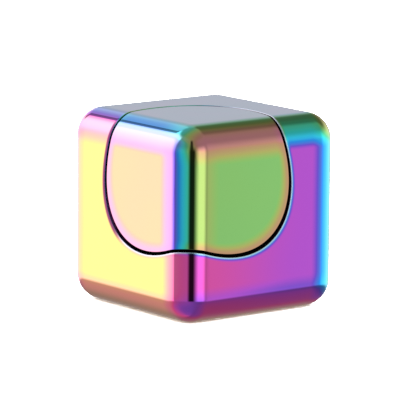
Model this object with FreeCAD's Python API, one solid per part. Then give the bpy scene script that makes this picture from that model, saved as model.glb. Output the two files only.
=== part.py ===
"""Spinning desk cube: a rounded metal cube whose two opposite corners turn on a ball bearing.

The cube stands on the floor with the centre of its bottom face at the origin, +Z up. Its spin axis is the
body diagonal through the top corner at +X -Y and the bottom corner at -X +Y. A round bore about that axis
parts each corner cap from the cube body. The body holds the bearing's outer race. The two caps are joined
by an axle that grips the inner race.

Turned pieces are drawn about a local Z axis with their middle at the origin, and place() then lays them
along the spin axis. In that local frame r is the distance from the axis and t the height along it.
All sizes are in mm.
"""

import FreeCAD, Part
import math
import os

Vector = FreeCAD.Vector

# Cube
cube_size = 30.0              # across opposite faces
edge_radius = 4.2             # round on every outer edge and corner

# Opening round each corner cap
bore_radius = 14.15           # bore in the cube body, about the spin axis
cap_gap = 0.3                 # running gap between bore and cap
body_rim_radius = 0.15        # round on the body's edge beside the gap
cap_rim_radius = 0.15         # round on the cap's edge beside the gap
cap_foot_chamfer = 0.5        # chamfer round the inner end of each cap
cap_clearance = 0.3           # axial gap between cap and web

# Corner caps, cored from behind
cap_wall = 2.2                # wall of the cap shell
boss_radius = 5.8             # boss that holds the axle
rib_count = 3                 # ribs from boss to shell
rib_width = 1.5
axle_engagement = 6.0         # length of axle in each boss
axle_end_clearance = 0.4      # air beyond the axle in its blind hole

# Ball bearing, the common 8 x 22 x 7 size
bearing_bore = 8.0
bearing_outside = 22.0
bearing_width = 7.0
race_chamfer = 0.3
ball_diameter = 3.969         # 5/32 inch
ball_count = 7
ball_clearance = 0.015        # between a ball and each raceway
raceway_radius = 2.06         # section radius of both raceways
inner_shoulder_radius = 6.1
outer_shoulder_radius = 8.9

# Bearing seat in the cube body
seat_lip_width = 1.0          # how far the lip reaches in over the outer race
seat_lip_thickness = 0.8

# Stamped two-part ribbon cage
cage_sheet = 0.35
cage_inner_radius = 6.55
cage_outer_radius = 8.45
pocket_clearance = 0.05       # between ball and pocket
rivet_radius = 0.4
rivet_head_radius = 0.7
rivet_head_height = 0.25

# Bearing shields and the snap rings that hold them
shield_thickness = 0.3
shield_recess_radius = 9.75   # recess in the outer race that takes the shield
shield_ledge_height = 2.65    # height of the ledge under the shield
shield_bore_clearance = 0.2   # between shield and inner race
shield_dish = 0.12            # raised inner band of the shield
shield_dish_radius = 8.2      # where the raised band begins
snap_ring_width = 0.5         # radial
snap_ring_thickness = 0.3     # axial
snap_groove_depth = 0.22
snap_ring_lift = 0.03         # axial play between shield and snap ring
snap_ring_opening = 26.0      # degrees

# Axle and spacers
axle_chamfer = 0.5
knurl_count = 30
knurl_depth = 0.18
knurl_margin = 0.8            # plain length at each end of a knurled band
spacer_outside_radius = 5.6

# How edges are picked out for rounding
touch = 1e-3                  # how near to a surface a point on it lies
edge_samples = (0.1, 0.37, 0.5, 0.81)   # where along an edge it is looked at

# Sizes that follow
half_cube = cube_size / 2
ball_radius = ball_diameter / 2
pitch_radius = (bearing_bore + bearing_outside) / 4
half_width = bearing_width / 2
seat_radius = bearing_outside / 2
axle_radius = bearing_bore / 2
cap_radius = bore_radius - cap_gap
web_half = half_width + seat_lip_thickness
cap_foot = web_half + cap_clearance
spacer_thickness = cap_foot - half_width
axle_half_length = cap_foot + axle_engagement
shield_bore_radius = inner_shoulder_radius + shield_bore_clearance
snap_ring_base = shield_ledge_height + shield_thickness + snap_ring_lift
corner_distance = half_cube * math.sqrt(3)
far = 2 * corner_distance

# Local Z along the spin axis, local X towards the vertical edge below the top cap
spin_axis = Vector(1, -1, 1).normalize()
edge_side = Vector(1, -1, -2).normalize()
cross_side = spin_axis.cross(edge_side)
cube_centre = Vector(0, 0, half_cube)
spin_placement = FreeCAD.Placement(
    cube_centre, FreeCAD.Rotation(edge_side, cross_side, spin_axis, "ZXY")
)
# Half turn that swaps the two capped corners and keeps the cube as it is
swap_placement = FreeCAD.Placement(
    Vector(0, 0, 0), FreeCAD.Rotation(Vector(1, 1, 0), 180), cube_centre
)


def place(shape):
    """Lays a turned piece along the spin axis."""
    return shape.transformed(spin_placement.toMatrix(), True)


def swap(shape):
    """The same piece at the other capped corner."""
    return shape.transformed(swap_placement.toMatrix(), True)


def turned(points):
    """Solid of revolution about local Z, from an outline of (r, t) points."""
    corners = [Vector(r, 0, t) for r, t in points]
    wire = Part.makePolygon(corners + corners[:1])
    return Part.Face(wire).revolve(Vector(0, 0, 0), Vector(0, 0, 1), 360)


def rod(radius, low, high):
    """Round bar about local Z between two heights."""
    return Part.makeCylinder(radius, high - low, Vector(0, 0, low))


def flipped(shape):
    """A turned piece turned end for end."""
    return shape.transformed(FreeCAD.Placement(
        Vector(0, 0, 0), FreeCAD.Rotation(Vector(1, 0, 0), 180)).toMatrix(), True)


def mirrored(shape):
    """A turned piece mirrored in the middle plane."""
    return shape.mirror(Vector(0, 0, 0), Vector(0, 0, 1))


def around(shape, count, start=0.0):
    """Copies of a piece at equal steps about local Z."""
    step = 360.0 / count
    copies = []
    for i in range(count):
        turn = FreeCAD.Rotation(Vector(0, 0, 1), start + i * step)
        copies.append(shape.transformed(FreeCAD.Placement(Vector(0, 0, 0), turn).toMatrix(), True))
    return copies


def rounded_cube(inset=0.0):
    """The cube with its rounded edges, standing on the floor, or a smaller one inside it."""
    side = cube_size - 2 * inset
    block = Part.makeBox(side, side, side, Vector(-side / 2, -side / 2, inset))
    return block.makeFillet(edge_radius - inset, block.Edges)


def axis_distance(point):
    """Distance of a point from the spin axis."""
    offset = point - cube_centre
    along = offset.dot(spin_axis)
    return (offset - spin_axis * along).Length


def axis_height(point):
    """Height of a point along the spin axis, from the cube's centre."""
    return (point - cube_centre).dot(spin_axis)


def rim_edges(shape, radius, lowest):
    """Edges on the cylinder of that radius that stay beyond that height, on either side of the middle."""
    found = []
    for edge in shape.Edges:
        first, last = edge.ParameterRange
        samples = [edge.valueAt(first + (last - first) * share) for share in edge_samples]
        on_wall = all(abs(axis_distance(p) - radius) < touch for p in samples)
        beyond = all(abs(axis_height(p)) > lowest for p in samples)
        if on_wall and beyond:
            found.append(edge)
    return found


def cube_body():
    """Six-cornered ring with a bore from each capped corner and a web that seats the bearing."""
    body = rounded_cube()
    body = body.cut(place(rod(bore_radius, web_half, far)))
    body = body.cut(place(rod(bore_radius, -far, -web_half)))
    body = body.cut(place(rod(seat_radius, -half_width, web_half)))
    body = body.cut(place(rod(seat_radius - seat_lip_width, -web_half, -half_width)))
    return body.makeFillet(body_rim_radius, rim_edges(body, bore_radius, cap_foot))


def cap_cavity():
    """Space cored out of a cap from behind, round its boss and ribs."""
    cavity = rounded_cube(cap_wall)
    cavity = cavity.common(place(rod(cap_radius - cap_wall, cap_foot, far)))
    boss = rod(boss_radius, cap_foot, far)
    rib = Part.makeBox(cap_radius, rib_width, far, Vector(0, -rib_width / 2, cap_foot))
    for solid in [boss] + around(rib, rib_count):
        cavity = cavity.cut(place(solid))
    return cavity


def corner_cap():
    """Cap for the top corner: shell, boss with a blind hole for the axle, and ribs."""
    blank = rod(cap_radius, cap_foot, far)
    foot = [e for e in blank.Edges if e.Closed and e.CenterOfMass.z < cap_foot + touch]
    blank = blank.makeChamfer(cap_foot_chamfer, foot)
    cap = rounded_cube().common(place(blank))
    cap = cap.makeFillet(cap_rim_radius, rim_edges(cap, cap_radius, cap_foot + cap_foot_chamfer + touch))
    cap = cap.cut(cap_cavity())
    return cap.cut(place(rod(axle_radius, cap_foot, axle_half_length + axle_end_clearance)))


def raceway(gap):
    """Ring that cuts a ball groove: gap is +1 for the outer race and -1 for the inner one."""
    reach = ball_radius + ball_clearance - raceway_radius
    return Part.makeTorus(pitch_radius + gap * reach, raceway_radius)


def bearing_outer_race():
    """Outer race with its ball groove and, at both ends, the shield recess and snap ring groove."""
    groove_low = snap_ring_base
    groove_high = snap_ring_base + snap_ring_thickness + snap_ring_lift
    groove_radius = shield_recess_radius + snap_groove_depth
    half = [
        (seat_radius, half_width - race_chamfer),
        (seat_radius - race_chamfer, half_width),
        (shield_recess_radius, half_width),
        (shield_recess_radius, groove_high),
        (groove_radius, groove_high),
        (groove_radius, groove_low),
        (shield_recess_radius, groove_low),
        (shield_recess_radius, shield_ledge_height),
        (outer_shoulder_radius, shield_ledge_height),
    ]
    lower = [(r, -t) for r, t in reversed(half)]
    return turned(half + lower).cut(raceway(+1))


def bearing_inner_race():
    """Inner race with its ball groove and chamfered bore."""
    outline = [
        (axle_radius + race_chamfer, -half_width),
        (inner_shoulder_radius, -half_width),
        (inner_shoulder_radius, half_width),
        (axle_radius + race_chamfer, half_width),
        (axle_radius, half_width - race_chamfer),
        (axle_radius, race_chamfer - half_width),
    ]
    return turned(outline).cut(raceway(-1))


def bearing_balls():
    """The balls, one solid each, at equal steps round the pitch circle."""
    ball = Part.makeSphere(ball_radius, Vector(pitch_radius, 0, 0))
    return around(ball, ball_count)


def cage_half():
    """Upper half of the ribbon cage: a flat ring, dished over each ball, with a hole at each rivet."""
    pocket_radius = ball_radius + pocket_clearance
    pocket_centre = Vector(pitch_radius, 0, 0)
    band = rod(cage_outer_radius, 0, half_width).cut(rod(cage_inner_radius, 0, half_width))
    ribbon = rod(cage_outer_radius, 0, cage_sheet).cut(rod(cage_inner_radius, 0, cage_sheet))
    shell = Part.makeSphere(pocket_radius + cage_sheet, pocket_centre).common(band)
    for dome in around(shell, ball_count):
        ribbon = ribbon.fuse(dome)
    for hollow in around(Part.makeSphere(pocket_radius, pocket_centre), ball_count):
        ribbon = ribbon.cut(hollow)
    hole = Part.makeCylinder(rivet_radius, cage_sheet, Vector(pitch_radius, 0, 0))
    for rivet_hole in around(hole, ball_count, 180.0 / ball_count):
        ribbon = ribbon.cut(rivet_hole)
    return ribbon.removeSplitter()


def cage_rivets():
    """Rivets that join the two cage halves between the balls, with a domed head at each end."""
    base = Vector(pitch_radius, 0, cage_sheet)
    head = Part.makeCone(rivet_head_radius, rivet_radius, rivet_head_height, base)
    shank = Part.makeCylinder(rivet_radius, 2 * cage_sheet, Vector(pitch_radius, 0, -cage_sheet))
    rivet = shank.fuse([head, mirrored(head)]).removeSplitter()
    return Part.makeCompound(around(rivet, ball_count, 180.0 / ball_count))


def bearing_shield():
    """Upper shield: a pressed disc with a raised inner band."""
    low = shield_ledge_height
    high = low + shield_thickness
    outline = [
        (shield_bore_radius, low + shield_dish),
        (shield_dish_radius, low + shield_dish),
        (shield_dish_radius + shield_thickness, low),
        (shield_recess_radius, low),
        (shield_recess_radius, high),
        (shield_dish_radius + shield_thickness, high),
        (shield_dish_radius, high + shield_dish),
        (shield_bore_radius, high + shield_dish),
    ]
    return turned(outline)


def snap_ring():
    """Upper snap ring, open at one place, that holds the shield down."""
    outside = shield_recess_radius + snap_groove_depth
    inside = outside - snap_ring_width
    top = snap_ring_base + snap_ring_thickness
    section = Part.makePolygon([
        Vector(inside, 0, snap_ring_base),
        Vector(outside, 0, snap_ring_base),
        Vector(outside, 0, top),
        Vector(inside, 0, top),
        Vector(inside, 0, snap_ring_base),
    ])
    return Part.Face(section).revolve(Vector(0, 0, 0), Vector(0, 0, 1), 360 - snap_ring_opening)


def axle():
    """Dowel through the bearing, with a straight knurled band where each cap grips it."""
    pin = rod(axle_radius, -axle_half_length, axle_half_length)
    ends = [e for e in pin.Edges if e.Closed and abs(e.CenterOfMass.z) > axle_half_length - touch]
    pin = pin.makeChamfer(axle_chamfer, ends)
    low = cap_foot + knurl_margin
    length = axle_engagement - knurl_margin - axle_chamfer
    tip = axle_radius - knurl_depth
    notch_face = Part.Face(Part.makePolygon([
        Vector(tip, 0, low),
        Vector(axle_radius + knurl_depth, -2 * knurl_depth, low),
        Vector(axle_radius + knurl_depth, 2 * knurl_depth, low),
        Vector(tip, 0, low),
    ]))
    notch = notch_face.extrude(Vector(0, 0, length))
    notches = around(notch, knurl_count)
    return pin.cut(notches + [flipped(n) for n in notches])


def spacer_washer():
    """Upper washer between inner race and cap boss."""
    return rod(spacer_outside_radius, half_width, half_width + spacer_thickness).cut(
        rod(axle_radius, half_width, half_width + spacer_thickness))


def parts():
    """Every node by name."""
    top_cap = corner_cap()
    upper_cage = cage_half()
    made = {
        "cube_body": cube_body(),
        "upper_corner_cap": top_cap,
        "lower_corner_cap": swap(top_cap),
        "axle_pin": place(axle()),
        "upper_spacer_washer": place(spacer_washer()),
        "lower_spacer_washer": place(flipped(spacer_washer())),
        "bearing_outer_race": place(bearing_outer_race()),
        "bearing_inner_race": place(bearing_inner_race()),
        "upper_cage_half": place(upper_cage),
        "lower_cage_half": place(flipped(upper_cage)),
        "cage_rivets": place(cage_rivets()),
        "upper_bearing_shield": place(bearing_shield()),
        "lower_bearing_shield": place(flipped(bearing_shield())),
        "upper_snap_ring": place(snap_ring()),
        "lower_snap_ring": place(flipped(snap_ring())),
    }
    for number, ball in enumerate(bearing_balls(), start=1):
        made[f"bearing_ball_{number}"] = place(ball)
    return made


def main():
    os.makedirs("parts", exist_ok=True)
    for name, shape in parts().items():
        if not shape.isValid():
            raise ValueError(f"{name} is not a valid shape")
        shape.exportStep(f"parts/{name}.step")
        print(f"{name}: {len(shape.Solids)} solid(s), {shape.Volume:.1f} mm3")


main()
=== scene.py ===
import math
import bmesh
import bpy
from mathutils import Matrix, Vector


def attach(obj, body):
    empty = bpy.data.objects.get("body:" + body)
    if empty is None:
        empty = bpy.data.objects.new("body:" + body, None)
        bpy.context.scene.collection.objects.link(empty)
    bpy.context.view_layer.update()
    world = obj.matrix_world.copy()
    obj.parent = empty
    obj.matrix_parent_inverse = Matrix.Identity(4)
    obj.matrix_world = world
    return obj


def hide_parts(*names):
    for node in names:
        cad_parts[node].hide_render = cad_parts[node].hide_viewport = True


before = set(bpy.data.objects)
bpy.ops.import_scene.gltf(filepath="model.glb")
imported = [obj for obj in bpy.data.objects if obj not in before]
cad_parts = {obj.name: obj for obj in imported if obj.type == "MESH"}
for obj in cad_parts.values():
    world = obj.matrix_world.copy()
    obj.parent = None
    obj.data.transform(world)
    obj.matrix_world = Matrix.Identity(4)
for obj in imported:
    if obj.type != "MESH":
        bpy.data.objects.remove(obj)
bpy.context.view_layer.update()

print("frame loaded:", len(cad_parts), "nodes")


# node graphs are written as plain expressions

def isVectorLike(value):
    return isinstance(value, Wire) and value.isVector or isinstance(value, (tuple, Vector))


class Wire:
    # one socket; arithmetic on it adds Math or Vector Math nodes to its tree
    def __init__(self, graph, socket):
        self.graph = graph
        self.socket = socket
        self.isVector = socket.type in {"VECTOR", "RGBA"}

    def math(self, operation, *others):
        operands = (self,) + others
        kind = "ShaderNodeVectorMath" if any(isVectorLike(o) for o in operands) else "ShaderNodeMath"
        return self.graph.node(kind, {"operation": operation}, dict(enumerate(operands)))

    def __add__(self, other):
        return self.math("ADD", other)

    __radd__ = __add__

    def __sub__(self, other):
        return self.math("SUBTRACT", other)

    def __rsub__(self, other):
        return self * -1 + other

    def __mul__(self, other):
        if self.isVector and not isVectorLike(other):
            return self.graph.scaled(self, other)
        if isVectorLike(other) and not self.isVector:
            return self.graph.scaled(other, self)
        return self.math("MULTIPLY", other)

    __rmul__ = __mul__

    def __truediv__(self, other):
        return self.math("DIVIDE", other)

    def __pow__(self, other):
        return self.math("POWER", other)

    def __neg__(self):
        return self * -1

    def absolute(self):
        return self.math("ABSOLUTE")

    def sign(self):
        return self.math("SIGN")

    def least(self, other):
        return self.math("MINIMUM", other)

    def most(self, other):
        return self.math("MAXIMUM", other)

    def dot(self, other):
        return self.graph.node("ShaderNodeVectorMath", {"operation": "DOT_PRODUCT"},
                               {0: self, 1: other}, "Value")

    def length(self):
        return self.graph.node("ShaderNodeVectorMath", {"operation": "LENGTH"}, {0: self}, "Value")

    def unit(self):
        return self.math("NORMALIZE")

    def xyz(self):
        split = self.graph.node("ShaderNodeSeparateXYZ", {}, {0: self}).socket.node
        return [Wire(self.graph, split.outputs[i]) for i in range(3)]

    def ease(self, low, high, start=0.0, end=1.0):
        # smooth step from start, at low, to end, at high
        return self.graph.node("ShaderNodeMapRange", {"interpolation_type": "SMOOTHSTEP"},
                               {"Value": self, "From Min": low, "From Max": high,
                                "To Min": start, "To Max": end})


class Graph:
    def __init__(self, tree):
        self.tree = tree

    def node(self, kind, settings=None, sockets=None, output=0):
        made = self.tree.nodes.new(kind)
        for name, value in (settings or {}).items():
            if name == "stops":
                self.setStops(made.color_ramp, value)
            elif name == "points":
                self.setPoints(made.mapping, value)
            else:
                setattr(made, name, value)
        for key, value in (sockets or {}).items():
            self.plug(made.inputs[key], value)
        return Wire(self, made.outputs[output]) if made.outputs else made

    def plug(self, socket, value):
        if isinstance(value, Wire):
            self.tree.links.new(value.socket, socket)
        elif socket.type == "VECTOR" and isinstance(value, (int, float)):
            socket.default_value = (value,) * len(socket.default_value)
        else:
            socket.default_value = value

    def setStops(self, ramp, stops):
        while len(ramp.elements) > 1:
            ramp.elements.remove(ramp.elements[-1])
        for index, (place, colour) in enumerate(stops):
            stop = ramp.elements[0] if index == 0 else ramp.elements.new(place)
            stop.position = place
            stop.color = (*colour, 1.0)

    def setPoints(self, mapping, points):
        mapping.use_clip = False
        line = mapping.curves[0].points
        for index, (x, y) in enumerate(points):
            if index < 2:
                line[index].location = (x, y)
            else:
                line.new(x, y)
        for point in line:
            point.handle_type = "AUTO_CLAMPED"
        mapping.update()

    def noise(self, place, scale, detail):
        return self.node("ShaderNodeTexNoise", {}, {"Vector": place, "Scale": scale, "Detail": detail})

    def scaled(self, vector, amount):
        return self.node("ShaderNodeVectorMath", {"operation": "SCALE"}, {0: vector, "Scale": amount})

    def curve(self, value, points):
        return self.node("ShaderNodeFloatCurve", {"points": points}, {"Value": value})

    def mixColour(self, share, first, second):
        return self.node("ShaderNodeMix", {"data_type": "RGBA"},
                         {0: share, 6: first, 7: second}, 2)


# the cube's own frame and sizes, in metres
cube = {
    "size": 0.030,
    "edgeRadius": 0.0042,
    "boreRadius": 0.01415,
    "capGap": 0.0003,
    "bodyRim": 0.00010,
    "capRim": 0.00007,
    "webHalf": 0.0043,          # half the thickness of the web that seats the bearing
    "seatRadius": 0.011,
    "seatDepth": 0.0035,
    "lipRadius": 0.010,
    "capFoot": 0.0046,
    "capFootChamfer": 0.0005,
}
half = cube["size"] / 2
centre = Vector((0.0, 0.0, half))
spinAxis = Vector((1, -1, 1)).normalized()
edgeSide = Vector((1, -1, -2)).normalized()      # towards the vertical edge below the top cap
crossSide = spinAxis.cross(edgeSide)
turnOver = Matrix.Rotation(math.pi, 4, Vector((1, 1, 0)))        # takes the upper cap to the lower one
swapTurn = Matrix.Translation(centre) @ turnOver @ Matrix.Translation(-centre)


# the shells are a plain net of points pressed onto the rounded cube by rule
net = {
    "turns": 480,               # points round the spin axis
    "skinRows": 128,            # rows from seam to seam over the body
    "rimRows": 7,
    "wallRows": 9,
    "capRings": 80,             # rings from the corner's tip to the seam
    "guideRadius": 0.026,       # sphere that spreads the points, more of them on the rounded edges
}


def netMesh(name, rows, rings=0):
    # rows: (zone, share, radius, height); zone 0 fixed, 1 wall, 2 rim, 3 skin, and 4, 5 the far rim and wall
    mesh = bpy.data.meshes.new(name)
    turns = net["turns"]
    points = []
    faces = []
    if rings:
        points.append((0.0, 3, 0.0, 0.0, 0.0))
        starts = [0, 1]
        for ring in range(1, rings + 1):
            count = turns // rings * ring
            for k in range(count):
                points.append((2 * math.pi * k / count, 3, ring / rings, 0.0, 0.0))
            starts.append(starts[-1] + count)
        sides = turns // rings
        for ring in range(1, rings + 1):
            outer, inner = sides * ring, max(sides * (ring - 1), 1)
            for side in range(sides):
                for k in range(ring):
                    a = starts[ring] + (side * ring + k) % outer
                    b = starts[ring] + (side * ring + k + 1) % outer
                    c = starts[ring - 1] + (side * (ring - 1) + k) % inner
                    faces.append((c, a, b))
                    if k < ring - 1:
                        d = starts[ring - 1] + (side * (ring - 1) + k + 1) % inner
                        faces.append((c, b, d))
        previous = starts[rings]
    else:
        previous = None
    first = len(points)
    for zone, share, radius, height in rows:
        start = len(points)
        points += [(2 * math.pi * k / turns, zone, share, radius, height) for k in range(turns)]
        if previous is not None:
            for k in range(turns):
                n = (k + 1) % turns
                faces.append((previous + k, start + k, start + n, previous + n))
        previous = start
    if not rings:
        for k in range(turns):
            n = (k + 1) % turns
            faces.append((previous + k, first + k, first + n, previous + n))
    mesh.from_pydata([(0, 0, 0)] * len(points), [], faces)
    for index, label in enumerate(("turn", "zone", "share", "radius", "height")):
        layer = mesh.attributes.new(label, "INT" if label == "zone" else "FLOAT", "POINT")
        layer.data.foreach_set("value", [p[index] for p in points])
    return mesh


def shellTree():
    tree = bpy.data.node_groups.new("shellOfCube", "GeometryNodeTree")
    face = tree.interface
    face.new_socket("Geometry", in_out="INPUT", socket_type="NodeSocketGeometry")
    for label in ("Cube Size", "Edge Radius", "Seam Radius", "Rim Radius", "Rim Side", "Wall Height",
                  "Guide Radius"):
        face.new_socket(label, in_out="INPUT", socket_type="NodeSocketFloat")
    face.new_socket("From Tip", in_out="INPUT", socket_type="NodeSocketBool")
    face.new_socket("Material", in_out="INPUT", socket_type="NodeSocketMaterial")
    face.new_socket("Geometry", in_out="OUTPUT", socket_type="NodeSocketGeometry")
    graph = Graph(tree)
    given = graph.node("NodeGroupInput").socket.node

    def entry(label):
        return Wire(graph, given.outputs[label])

    def named(label, kind="FLOAT"):
        return graph.node("GeometryNodeInputNamedAttribute", {"data_type": kind}, {"Name": label})

    edgeRadius, seam, rim, side = (entry(k) for k in ("Edge Radius", "Seam Radius", "Rim Radius", "Rim Side"))
    guide = entry("Guide Radius")
    inner = entry("Cube Size") * 0.5 - edgeRadius
    innerCorner = graph.node("ShaderNodeCombineXYZ", {}, {0: inner, 1: inner, 2: inner})
    turn, share = named("turn"), named("share")
    zone = named("zone", "INT")
    outward = graph.node("ShaderNodeCombineXYZ", {}, {0: turn.math("COSINE"), 1: turn.math("SINE")})
    radialX, radialY, _ = outward.xyz()
    radial = graph.scaled(tuple(edgeSide), radialX) + graph.scaled(tuple(crossSide), radialY)

    def outside(point):
        return (point.absolute() - innerCorner).math("MAXIMUM", (0.0, 0.0, 0.0))

    def normalAt(point):
        return outside(point).unit() * point.sign()

    def blendTurn(first, second, amount):
        # from one unit vector to another at an even rate of turn
        angle = first.dot(second).math("ARCCOSINE")
        whole = angle.math("SINE")
        firstShare = ((1 - amount) * angle).math("SINE") / whole
        secondShare = (amount * angle).math("SINE") / whole
        return first * firstShare + second * secondShare

    def rimLine(up):
        # the ball that rounds the rim touches both the bore and the skin: march along the axis to its centre
        axis = tuple(spinAxis * up)
        point = radial * (seam + side * rim) + tuple(spinAxis * up * 2 * half)
        for _ in range(9):
            gap = outside(point).length() - edgeRadius + rim
            slope = normalAt(point).dot(axis)
            point = point - graph.scaled(axis, gap / slope)
        normal = normalAt(point)
        touch = point + normal * rim
        along = touch.dot(normal)
        reach = (along * along - touch.dot(touch) + guide * guide).math("SQRT") - along
        return point, normal, (touch + normal * reach).unit()

    topCentre, topNormal, topGuide = rimLine(1)
    lowCentre, lowNormal, lowGuide = rimLine(-1)
    inwards = radial * (side * -1)
    tip = graph.node("ShaderNodeCombineXYZ", {}, {i: spinAxis[i] for i in range(3)})

    def choose(test, ifFalse, ifTrue):
        return graph.node("GeometryNodeSwitch", {"input_type": "VECTOR"},
                          {"Switch": test, "False": ifFalse, "True": ifTrue})

    start = choose(entry("From Tip"), topGuide, tip)
    end = choose(entry("From Tip"), lowGuide, topGuide)
    spread = blendTurn(start, end, share) * guide
    core = spread.math("MINIMUM", innerCorner).math("MAXIMUM", innerCorner * -1)
    skin = core + (spread - core).unit() * edgeRadius
    axisWire = tip
    fixed = radial * named("radius") + axisWire * named("height")

    def wall(rimCentre, up):
        top = rimCentre + inwards * rim
        foot = radial * seam + axisWire * (entry("Wall Height") * up)
        return foot * (1 - share) + top * share

    places = [fixed, wall(topCentre, 1), topCentre + blendTurn(inwards, topNormal, share) * rim, skin,
              lowCentre + blendTurn(inwards, lowNormal, share) * rim, wall(lowCentre, -1)]
    place = places[0]
    for index in range(1, len(places)):
        isZone = graph.node("FunctionNodeCompare", {"data_type": "INT", "operation": "EQUAL"},
                            {2: zone, 3: index})
        place = choose(isZone, place, places[index])
    moved = graph.node("GeometryNodeSetPosition", {},
                       {"Geometry": entry("Geometry"), "Position": place + tuple(centre)})
    smooth = graph.node("GeometryNodeSetShadeSmooth", {}, {"Geometry": moved})
    real = graph.node("GeometryNodeRealizeInstances", {}, {"Geometry": smooth})
    done = graph.node("GeometryNodeSetMaterial", {}, {"Geometry": real, "Material": entry("Material")})
    graph.node("NodeGroupOutput", {}, {"Geometry": done})
    return tree


def throughTree(name, mesh, tree, values):
    # runs a tree on a mesh and gives the result as a plain object
    source = bpy.data.objects.new(name + "_source", mesh)
    bpy.context.collection.objects.link(source)
    modifier = source.modifiers.new("shape", "NODES")
    modifier.node_group = tree
    sockets = {s.name: s.identifier for s in tree.interface.items_tree if s.in_out == "INPUT"}
    for label, value in values.items():
        modifier[sockets[label]] = value
    evaluated = source.evaluated_get(bpy.context.evaluated_depsgraph_get())
    result = bpy.data.meshes.new_from_object(evaluated)
    source.modifiers.clear()
    bpy.data.objects.remove(source)
    result.name = name
    made = bpy.data.objects.new(name, result)
    bpy.context.collection.objects.link(made)
    return made


def facingOut(mesh):
    turned = bmesh.new()
    turned.from_mesh(mesh)
    bmesh.ops.recalc_face_normals(turned, faces=turned.faces)
    turned.to_mesh(mesh)
    turned.free()


laterColours = [          # colours that a growing film passes through after violet
    (0.50, (0.17, 0.09, 0.67)),
    (0.57, (0.03, 0.28, 0.85)),
    (0.66, (0.04, 0.62, 0.86)),
    (0.73, (0.05, 0.72, 0.62)),
    (0.80, (0.10, 0.62, 0.30)),
    (0.88, (0.30, 0.62, 0.17)),
    (0.98, (0.50, 0.50, 0.15)),
    (1.08, (0.60, 0.30, 0.20)),
    (1.16, (0.65, 0.22, 0.35)),
]
filmSpan = 1.2            # the ramp covers phases from 0 to this
bandFull = 0.0112         # where a band along a face's border reaches its full amount

bodyFilm = {
    # phases of the film: how far along the colours each face is
    "faces": {"+x": 0.43, "-x": 0.06, "+y": 0.43, "-y": 0.06, "+z": 0.70, "-z": 0.10},
    # a few phases over each rounded edge, by the angle from its first side
    "edges": {
        ("+z", "+x"): [(15, 0.83), (45, 0.79), (75, 0.65)],       # green to teal
        ("+z", "-y"): [(10, 0.60), (40, 0.44), (50, 0.26), (75, 0.20)],   # blue, then rose
        ("-y", "+x"): [(20, 0.31), (45, 0.35), (75, 0.38)],       # magenta
        ("+x", "+y"): [(10, 0.60), (45, 0.72)],                   # cyan
        ("-y", "-z"): [(20, 0.16), (45, 0.12)],                   # peach
        ("+x", "-z"): [(15, 0.42), (40, 0.34), (60, 0.15)],       # plum
        ("-y", "-x"): [(45, 0.34)],
    },
    "corners": {("+x", "-y", "-z"): 0.13, ("+x", "+y", "+z"): 0.14},
    "spread": 0.5,
    "bands": {           # (face, side it lies along): (where it starts, how much it adds)
        ("-y", "+z"): (0.0095, 0.09),
        ("-y", "+x"): (0.0090, 0.13),
        ("-y", "-x"): (0.0100, 0.04),
        ("-y", "-z"): (0.0100, 0.06),
        ("+x", "+z"): (0.0100, 0.12),
        ("+x", "+y"): (0.0090, 0.12),
        ("+x", "-y"): (-0.0080, -0.08),
        ("+x", "-z"): (0.0090, 0.06),
    },
    "seam": {"+x": 0.20, "-x": 0.12, "+y": 0.20, "-y": 0.12, "+z": 0.06, "-z": 0.10},
    "most": {"+x": 0.24, "-x": 0.18, "+y": 0.24, "-y": 0.18, "+z": 0.20, "-z": 0.20},
    "seamWidth": 0.0007,
    "seamSide": 1,
    "paintedHighlights": {           # painted highlights: where bright reflections whiten the colour, by the same angles
        ("+z", "-y"): [(10, 0.35), (40, 0.10), (60, 0.50)],
        ("+x", "+y"): [(45, 0.20)],
    },
    "paintedHighlightColour": (0.85, 0.70, 1.0),
    # painted highlight on the bore's lip: how strong it is
    "paintedRimHighlight": 0.65,
    "drift": 0.02,
    # the far side is alike
    "twin": {"+x": "+y", "+y": "+x", "-x": "-y", "-y": "-x", "+z": "+z", "-z": "-z"},
    "colours": [
        (0.00, (0.93, 0.83, 0.19)),
        (0.08, (0.90, 0.60, 0.22)),
        (0.14, (0.88, 0.46, 0.31)),
        (0.20, (0.86, 0.30, 0.37)),
        (0.33, (0.80, 0.10, 0.37)),
        (0.43, (0.50, 0.10, 0.68)),
    ],
}
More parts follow.
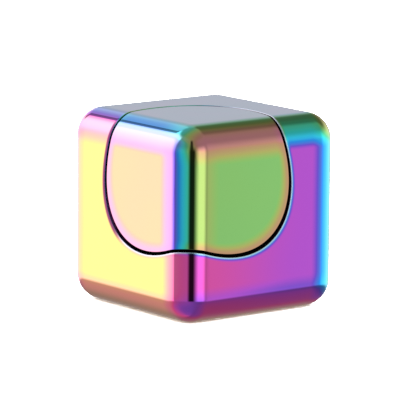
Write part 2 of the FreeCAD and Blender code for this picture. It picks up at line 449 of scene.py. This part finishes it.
capFilm = {
    "faces": {"+x": 0.87, "-x": 0.12, "+y": 0.87, "-y": 0.12, "+z": 0.75, "-z": 0.75},
    "edges": {
        ("-y", "+x"): [(10, 0.33), (20, 0.52), (45, 0.75), (65, 0.91)],   # violet, blue, teal, green
        ("+z", "-y"): [(15, 0.63), (50, 0.52), (60, 0.25)],               # cyan, then rose
        ("+z", "+x"): [(15, 0.84), (45, 1.08), (75, 1.10)],               # green to brown
    },
    "corners": {("+x", "-y", "+z"): 0.07},
    "spread": 0.7,
    "bands": {
        ("-y", "+z"): (0.0100, 0.11),
        ("-y", "+x"): (0.0085, 0.15),
        ("+z", "+x"): (0.0060, 0.10),
        ("+x", "+z"): (0.0090, 0.16),
        ("+x", "-y"): (0.0085, 0.06),
    },
    "seam": {"+x": 0.19, "-x": 0.10, "+y": 0.19, "-y": 0.10, "+z": 0.04, "-z": 0.04},
    "most": {"+x": 0.20, "-x": 0.16, "+y": 0.20, "-y": 0.16, "+z": 0.20, "-z": 0.20},
    "seamWidth": 0.0013,
    "seamSide": -1,
    # painted highlights: where bright reflections whiten the colour, as on the body
    "paintedHighlights": {
        ("+z", "-y"): [(10, 0.20), (40, 0.12), (50, 0.65), (70, 0.30)],
    },
    "paintedHighlightColour": (0.66, 0.80, 1.0),
    # no painted highlight on the cap's lip
    "paintedRimHighlight": 0.0,
    "drift": 0.02,
    "twin": {"+x": "+y", "-y": "-x", "+z": "-z"},      # the lower cap is the upper one turned over
    "colours": [
        (0.00, (0.93, 0.83, 0.19)),
        (0.08, (0.90, 0.60, 0.22)),
        (0.14, (0.88, 0.45, 0.33)),
        (0.20, (0.85, 0.40, 0.54)),
        (0.30, (0.68, 0.32, 0.70)),
        (0.42, (0.25, 0.15, 0.66)),
    ],
}
paintedTopSheen = {
    "colour": (0.55, 0.62, 0.88, 1.0),       # painted reflection: both top faces are painted nearly silver, the sheen they show at a low angle
    "cloud": (0.62, 0.60, 0.90, 1.0),
    "cover": [(0, 0.0), (0.8, 0.0), (0.95, 0.40), (1, 0.92)],
}


gapShadeColours = [      # painted shade: the bore's wall and the gap are painted near black, by height along the axle
    (0.0, (0.06, 0.05, 0.22)),
    (0.15, (0.14, 0.025, 0.17)),
    (0.32, (0.055, 0.006, 0.045)),
    (0.7, (0.04, 0.004, 0.03)),
    (1.0, (0.09, 0.012, 0.07)),
]


def withTwins(film, key):
    # the rows as given, and the same again on the sides that are alike
    rows = dict(film[key])
    for sides, value in film[key].items():
        alike = tuple(film["twin"][side] for side in sides)
        sameEdge = set(alike) == set(sides) and key != "bands"
        if not sameEdge:
            rows.setdefault(alike, value)
    return rows


def borderPhase(film, side, other):
    # phase where a face meets the edge it shares with another
    return film["faces"][side] + withTwins(film, "bands").get((side, other), (0.0, 0.0))[1]


def edgeCurve(film, pair, stops):
    # what an edge adds to the even mix of its two faces, over the share of its second side
    first, second = borderPhase(film, *pair), borderPhase(film, pair[1], pair[0])
    points = [(0, 0.0)]
    for angle, phase in stops:
        share = math.sin(math.radians(angle)) ** 2
        points.append((share, phase - first * (1 - share) - second * share))
    return points + [(1, 0.0)]


def rainbowMetal(name, film):
    material = bpy.data.materials.new(name)
    material.use_nodes = True
    material.node_tree.nodes.clear()
    graph = Graph(material.node_tree)
    place = graph.node("ShaderNodeTexCoord", {}, {}, "Object") - tuple(centre)
    normal = graph.node("ShaderNodeTexCoord", {}, {}, "Normal")
    facing, along = {}, {}
    for letter, part, coordinate in zip("xyz", normal.xyz(), place.xyz()):
        for sign, factor in (("+", 1), ("-", -1)):
            toward = (part * factor).most(0.0)
            facing[sign + letter] = toward * toward
            along[sign + letter] = coordinate * factor

    def onEdge(pair, points):
        both = facing[pair[0]] + facing[pair[1]]
        return graph.curve(facing[pair[1]] / both, points) * both * both

    phase = 0.0
    for pair, stops in withTwins(film, "edges").items():
        phase = onEdge(pair, edgeCurve(film, pair, stops)) + phase
    for (first, second, third), amount in withTwins(film, "corners").items():
        phase = (facing[first] * facing[second] * facing[third] * 27) ** film["spread"] * amount + phase
    height = place.dot(tuple(spinAxis))
    spin = (place - graph.scaled(tuple(spinAxis), height)).length()
    fromGap = (spin - (cube["boreRadius"] - cube["capGap"] / 2)) * film["seamSide"] - cube["capGap"] / 2
    nearSeam = fromGap.ease(0.00005, film["seamWidth"], 1.0, 0.0)
    for side, amount in film["faces"].items():
        most = film["most"][side]
        spare = 1 - nearSeam * (film["seam"][side] / most)
        for (face, direction), (start, added) in withTwins(film, "bands").items():
            if face == side:
                spare = along[direction].ease(start, bandFull, 1.0, 1 - added / most) * spare
        phase = facing[side] * ((1 - spare) * most + amount) + phase
    drift = graph.noise(place, 60.0, 1.0) - 0.5
    phase = phase + drift * film["drift"]
    stops = [(at / filmSpan, tone) for at, tone in film["colours"] + laterColours]
    colour = graph.node("ShaderNodeValToRGB", {"stops": stops}, {0: phase / filmSpan})
    highlightShare = 0.0
    # painted highlights: pale colour laid over the film where the rounded edges catch bright reflections
    for pair, stops in withTwins(film, "paintedHighlights").items():
        both = facing[pair[0]] + facing[pair[1]]
        shares = [(math.sin(math.radians(angle)) ** 2, amount) for angle, amount in stops]
        highlightShare = onEdge(pair, [(0, 0.0)] + shares + [(1, 0.0)]) * both * both + highlightShare
    colour = graph.mixColour(highlightShare, colour, (*film["paintedHighlightColour"], 1.0))
    # painted reflection: the upward faces turn pale silver in cloudy patches, a sheen painted into the colour
    cloud = graph.noise(place, 110.0, 2.0).ease(0.4, 0.65)
    paintedSheen = graph.mixColour(cloud, paintedTopSheen["colour"], paintedTopSheen["cloud"])
    colour = graph.mixColour(graph.curve(facing["+z"], paintedTopSheen["cover"]), colour, paintedSheen)
    rimHighlightShare = 0.0
    if film["paintedRimHighlight"]:        # painted highlight: the bore's lip is painted pale where it catches light, and painted plum shade where it lies in shade
        toward = along["+x"].ease(-0.003, 0.0, 0.0, 1.0)
        rimHighlightShare = fromGap.ease(0.00014, 0.00036, film["paintedRimHighlight"], 0.0) * toward
        colour = graph.mixColour(rimHighlightShare, colour, (0.74, 0.93, 1.0, 1.0))
        # painted shade: a dark plum band along the lip, on the side away from +x
        shade = fromGap.ease(0.00034, 0.00060, 0.9, 0.0) * (1 - toward) * facing["-y"].ease(0.3, 0.7)
        colour = graph.mixColour(shade, colour, (0.16, 0.014, 0.11, 1.0))
    # painted shade: the walls inside the seam's gap are painted dark, with streaks
    gapShade = fromGap.ease(0.000003, 0.00003, 1.0, 0.0)
    streaks = graph.noise(place, 240.0, 2.0) * 0.3
    depth = height.absolute() * 55 + streaks - 0.15
    wall = graph.node("ShaderNodeValToRGB", {"stops": gapShadeColours}, {0: depth})
    colour = graph.mixColour(gapShade, colour, wall)
    grain = graph.noise(place, 9000.0, 2.0)
    rough = grain * 0.02 + 0.02 + rimHighlightShare * 0.45
    shader = graph.node("ShaderNodeBsdfPrincipled", {}, {
        "Base Color": colour, "Metallic": 1.0, "Roughness": rough})
    graph.node("ShaderNodeOutputMaterial", {}, {"Surface": shader})
    return material


def steelFinish(name, look):
    # turned or tumbled steel: fine lathe lines run round the axle, with a thin film of oil over them
    material = bpy.data.materials.new(name)
    material.use_nodes = True
    material.node_tree.nodes.clear()
    graph = Graph(material.node_tree)
    place = graph.node("ShaderNodeTexCoord", {}, {}, "Object") - tuple(centre)
    height = place.dot(tuple(spinAxis))
    outward = (place - graph.scaled(tuple(spinAxis), height)).length()
    across = graph.node("ShaderNodeCombineXYZ", {}, {0: height, 1: outward, 2: 0.0})
    lathe = graph.noise(across, look["lineScale"], 3.0)
    grain = graph.noise(place, look["grainScale"], 4.0)
    oil = graph.noise(place, 260.0, 2.0).ease(0.35, 0.7)
    marks = lathe * look["lines"] + grain * (1 - look["lines"])
    tone = graph.mixColour(marks, (*[c * 0.78 for c in look["colour"]], 1.0), (*look["colour"], 1.0))
    tone = graph.mixColour(oil * look["oil"], tone, (*look["tint"], 1.0))
    bump = graph.node("ShaderNodeBump", {},
                      {"Strength": look["relief"], "Distance": 0.00001, "Height": marks})
    shader = graph.node("ShaderNodeBsdfPrincipled", {}, {
        "Base Color": tone, "Metallic": 1.0, "Roughness": marks * 0.12 + oil * -0.04 + look["roughness"],
        "Normal": bump})
    graph.node("ShaderNodeOutputMaterial", {}, {"Surface": shader})
    return material


steelLooks = {
    "bearing_steel": {"colour": (0.74, 0.75, 0.76), "tint": (0.62, 0.58, 0.50), "roughness": 0.12,
                      "lines": 0.8, "lineScale": 5200.0, "grainScale": 4000.0, "relief": 0.12, "oil": 0.35},
    "pressed_steel": {"colour": (0.66, 0.66, 0.65), "tint": (0.55, 0.53, 0.48), "roughness": 0.30,
                      "lines": 0.15, "lineScale": 3000.0, "grainScale": 2600.0, "relief": 0.25, "oil": 0.30},
    "spring_steel": {"colour": (0.34, 0.35, 0.38), "tint": (0.16, 0.17, 0.24), "roughness": 0.28,
                     "lines": 0.5, "lineScale": 4200.0, "grainScale": 3000.0, "relief": 0.2, "oil": 0.5},
    "axle_steel": {"colour": (0.62, 0.62, 0.63), "tint": (0.50, 0.49, 0.46), "roughness": 0.22,
                   "lines": 0.7, "lineScale": 3800.0, "grainScale": 2800.0, "relief": 0.2, "oil": 0.25},
}
bodyMetal = rainbowMetal("bodyRainbowMetal", bodyFilm)
capMetal = rainbowMetal("capRainbowMetal", capFilm)
steels = {slot: steelFinish(slot, look) for slot, look in steelLooks.items()}
print("materials made:", 2 + len(steels))

tree = shellTree()
shared = {"Cube Size": cube["size"], "Edge Radius": cube["edgeRadius"], "Guide Radius": net["guideRadius"]}


def evenRows(zone, count, start=0.0, end=1.0):
    # count rows from start to end, without the last one
    return [(zone, start + (end - start) * k / count, 0.0, 0.0) for k in range(count)]


def bearingSeat():
    # section of the web, from the bore's wall round the lip and the bearing's seat and back: (radius, height)
    low, top, seat = -cube["webHalf"], cube["webHalf"], -cube["seatDepth"]
    lip, seatWall, midWeb = cube["lipRadius"], cube["seatRadius"], 0.0125
    return [(midWeb, low), (lip, low), (lip, (low + seat) / 2), (lip, seat), (seatWall, seat),
            (seatWall, seat / 2), (seatWall, 0.0), (seatWall, 0.002), (seatWall, top), (midWeb, top)]


def cubeBody():
    rows = evenRows(1, net["wallRows"]) + evenRows(2, net["rimRows"]) + evenRows(3, net["skinRows"])
    rows += evenRows(4, net["rimRows"], 1.0, 0.0) + evenRows(5, net["wallRows"], 1.0, 0.0)
    rows += [(5, 0.0, 0.0, 0.0)]
    rows += [(0, 0.0, radius, height) for radius, height in bearingSeat()]
    mesh = netMesh("cube_body_net", rows)
    made = throughTree("cube_body_shell", mesh, tree, {
        **shared, "Seam Radius": cube["boreRadius"], "Rim Radius": cube["bodyRim"], "Rim Side": 1.0,
        "Wall Height": cube["webHalf"], "From Tip": False, "Material": bodyMetal})
    facingOut(made.data)
    made.data.set_sharp_from_angle(angle=math.radians(35))
    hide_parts("cube_body")
    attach(made, "cube")
    return made


def cornerCap(name, node, turned):
    capRadius = cube["boreRadius"] - cube["capGap"]
    rows = [(2, 1 - k / net["rimRows"], 0.0, 0.0) for k in range(1, net["rimRows"])]
    rows += [(1, 1 - k / net["wallRows"], 0.0, 0.0) for k in range(net["wallRows"])]
    rows += [(1, 0.0, 0.0, 0.0), (0, 0.0, capRadius - cube["capFootChamfer"], cube["capFoot"])]
    mesh = netMesh(name + "_net", rows, net["capRings"])
    made = throughTree(name, mesh, tree, {
        **shared, "Seam Radius": capRadius, "Rim Radius": cube["capRim"], "Rim Side": -1.0,
        "Wall Height": cube["capFoot"] + cube["capFootChamfer"], "From Tip": True, "Material": capMetal})
    if turned:
        made.data.transform(swapTurn)
    addCore(made.data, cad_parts[node].data, turned)
    facingOut(made.data)
    made.data.set_sharp_from_angle(angle=math.radians(35))
    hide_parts(node)
    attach(made, "rotor")
    return made


def addCore(skin, solid, turned):
    # the cored inside of the cap, from its solid: all but the skin, wall, chamfer and flat foot
    end = -1 if turned else 1
    core = bmesh.new()
    core.from_mesh(solid)
    bmesh.ops.remove_doubles(core, verts=core.verts, dist=1e-7)
    foot = cube["capFoot"]
    wallRadius = cube["boreRadius"] - cube["capGap"] - cube["capFootChamfer"]

    def heightOf(point):
        return (point - centre).dot(spinAxis) * end

    def radiusOf(point):
        offset = point - centre
        return (offset - spinAxis * offset.dot(spinAxis)).length

    def belongsOutside(face):
        middle = face.calc_center_median()
        offset = middle - centre
        onFoot = all(abs(heightOf(v.co) - foot) < 1e-6 for v in face.verts)
        onWall = all(radiusOf(v.co) > wallRadius - 1e-5 for v in face.verts)
        corner = half - cube["edgeRadius"]
        over = Vector(max(abs(c) - corner, 0.0) for c in offset)
        onSkin = over.length > cube["edgeRadius"] - 0.0009
        return onFoot or onWall or onSkin

    bmesh.ops.delete(core, geom=[f for f in core.faces if belongsOutside(f)], context="FACES")
    loose = [v for v in core.verts if not v.link_faces]
    bmesh.ops.delete(core, geom=loose, context="VERTS")
    joined = bmesh.new()
    joined.from_mesh(skin)
    coreMesh = bpy.data.meshes.new("core")
    core.to_mesh(coreMesh)
    core.free()
    joined.from_mesh(coreMesh)
    bpy.data.meshes.remove(coreMesh)
    rimEdges = [e for e in joined.edges if e.is_boundary]
    bmesh.ops.triangle_fill(joined, use_beauty=True, use_dissolve=False, edges=rimEdges)
    leftOpen = [e for e in joined.edges if e.is_boundary]
    print("   cap core:", len(rimEdges), "open edges before,", len(leftOpen), "after")
    for face in joined.faces:
        face.smooth = True
    joined.to_mesh(skin)
    joined.free()


body = cubeBody()
upperCap = cornerCap("upper_corner_cap_shell", "upper_corner_cap", False)
lowerCap = cornerCap("lower_corner_cap_shell", "lower_corner_cap", True)
print("shells made:", len(body.data.polygons), len(upperCap.data.polygons), len(lowerCap.data.polygons))

slotOf = {           # which steel each hidden piece is made of, by the start of its name
    "bearing": "bearing_steel", "upper_spacer": "bearing_steel", "lower_spacer": "bearing_steel",
    "upper_snap": "spring_steel", "lower_snap": "spring_steel", "axle": "axle_steel",
}
for name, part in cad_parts.items():
    slot = next((steel for start, steel in slotOf.items() if name.startswith(start)), "pressed_steel")
    part.data.materials.clear()
    part.data.materials.append(steels[slot])

floorMesh = bpy.data.meshes.new("floor")
floorMesh.from_pydata([(-3, -3, 0), (3, -3, 0), (3, 3, 0), (-3, 3, 0)], [], [(0, 1, 2, 3)])
floor = bpy.data.objects.new("floor", floorMesh)
bpy.context.collection.objects.link(floor)
floorMaterial = bpy.data.materials.new("paleFloor")
floorMaterial.use_nodes = True
floorMaterial.node_tree.nodes["Principled BSDF"].inputs["Base Color"].default_value = (0.97, 0.97, 0.97, 1)
floorMaterial.node_tree.nodes["Principled BSDF"].inputs["Roughness"].default_value = 0.9
floorMaterial.node_tree.nodes["Principled BSDF"].inputs["Specular IOR Level"].default_value = 0.0
floorMesh.materials.append(floorMaterial)
floor.visible_glossy = False

view = {
    "azimuth": 51.93,
    "elevation": 10.04,
    "roll": 0.525,
    "distance": 0.5641,
    "lens": 331.3,
    "sensor": 36.0,
    "aimRight": -0.00049,
    "aimUp": 0.00085,
}


def addCamera():
    azimuth, elevation = math.radians(view["azimuth"]), math.radians(view["elevation"])
    back = Vector((math.sin(azimuth) * math.cos(elevation), -math.cos(azimuth) * math.cos(elevation),
                   math.sin(elevation)))
    right = (-back).cross(Vector((0, 0, 1))).normalized()
    up = right.cross(-back)
    aim = centre + right * view["aimRight"] + up * view["aimUp"]
    place = centre + back * view["distance"]
    away = (place - aim).normalized()
    right = Vector((0, 0, 1)).cross(away).normalized()
    up = away.cross(right)
    roll = math.radians(view["roll"])
    right, up = right * math.cos(roll) + up * math.sin(roll), up * math.cos(roll) - right * math.sin(roll)
    data = bpy.data.cameras.new("camera")
    data.lens = view["lens"]
    data.sensor_width = view["sensor"]
    data.clip_start = 0.01
    camera = bpy.data.objects.new("camera", data)
    bpy.context.collection.objects.link(camera)
    turn = Matrix((right, up, away)).transposed().to_4x4()
    camera.matrix_world = Matrix.Translation(place) @ turn
    bpy.context.scene.camera = camera


studio = {           # lamps and dark cloths round the cube: (bearing, half its width, softness, brightness)
    "level": ((0.58, 0.58, 0.58), [
        (-120, 49, 4, (1.6, 1.6, 1.6)),          # big softbox on the left
        (5, 13, 7, (0.02, 0.02, 0.02)),          # the dark gap that the camera looks through
        (45, 17, 9, (1.6, 1.6, 1.6)),            # strip lamp on the right
        (115, 36, 14, (1.3, 1.3, 1.3)),          # softer lamp behind it
    ]),
    "sky": ((0.40, 0.40, 0.40), [
        (-155, 18, 8, (0.85, 0.85, 0.85)),
        (-105, 33, 8, (1.6, 1.6, 1.6)),
        (2, 7, 5, (0.04, 0.04, 0.04)),
        (70, 40, 20, (0.48, 0.48, 0.48)),
        (143, 28, 12, (0.17, 0.17, 0.17)),
        (180, 9, 6, (0.57, 0.57, 0.57)),
    ]),
    "ground": ((0.33, 0.29, 0.31), [
        (-25, 50, 25, (0.44, 0.41, 0.44)),
        (-100, 35, 25, (0.66, 0.51, 0.49)),      # warm light from the left comes back off the floor
    ]),
    "overhead": (0.42, 0.42, 0.42, 1.0),
    "bar": -138,                                 # a thin dark frame in the left softbox
    "onFloor": (8.0, 8.0, 8.0, 1.0),             # strong and even, so that the floor stays pale
    "backdrop": (1.0, 1.0, 1.0, 1.0),
}


def addWorld():
    world = bpy.data.worlds.new("studio")
    bpy.context.scene.world = world
    world.use_nodes = True
    world.node_tree.nodes.clear()
    graph = Graph(world.node_tree)
    direction = graph.node("ShaderNodeTexCoord", {}, {}, "Generated")
    dx, dy, dz = direction.xyz()
    azimuth = math.radians(view["azimuth"])
    ahead = dx * math.sin(azimuth) + dy * -math.cos(azimuth)      # towards the camera
    across = dx * math.cos(azimuth) + dy * math.sin(azimuth)      # to the camera's right
    bearing = across.math("ARCTAN2", ahead) / math.pi               # -1 to 1, 0 at the camera

    def around(base, lamps):
        glow = (*base, 1.0)
        for lampBearing, halfWidth, softness, brightness in lamps:
            off = (bearing * 180 - lampBearing).math("WRAP", 180.0, -180.0).absolute()
            lit = off.ease(halfWidth - softness, halfWidth + softness, 1.0, 0.0)
            glow = graph.mixColour(lit, glow, (*brightness, 1.0))
        return glow

    light = graph.mixColour(dz.ease(0.10, 0.55), around(*studio["level"]), around(*studio["sky"]))
    light = graph.mixColour(dz.ease(0.74, 0.88), light, studio["overhead"])
    light = graph.mixColour(dz.ease(-0.40, -0.28, 1.0, 0.0), light, around(*studio["ground"]))
    line = (bearing * 180 - studio["bar"]).absolute().ease(3.5, 6.5, 0.30, 1.0)
    light = graph.mixColour(dz.ease(0.3, 0.4) * dz.ease(0.68, 0.76, 1.0, 0.0), light, light * line)
    seen = graph.node("ShaderNodeLightPath", {}, {}, "Is Camera Ray")
    diffuse = graph.node("ShaderNodeLightPath", {}, {}, "Is Diffuse Ray")
    light = graph.mixColour(diffuse, light, studio["onFloor"])
    light = graph.mixColour(seen, light, studio["backdrop"])
    background = graph.node("ShaderNodeBackground", {}, {"Color": light, "Strength": 1.0})
    graph.node("ShaderNodeOutputWorld", {}, {"Surface": background})


addCamera()
addWorld()
bpy.context.scene.view_settings.view_transform = "Standard"
print("camera, floor and light placed")
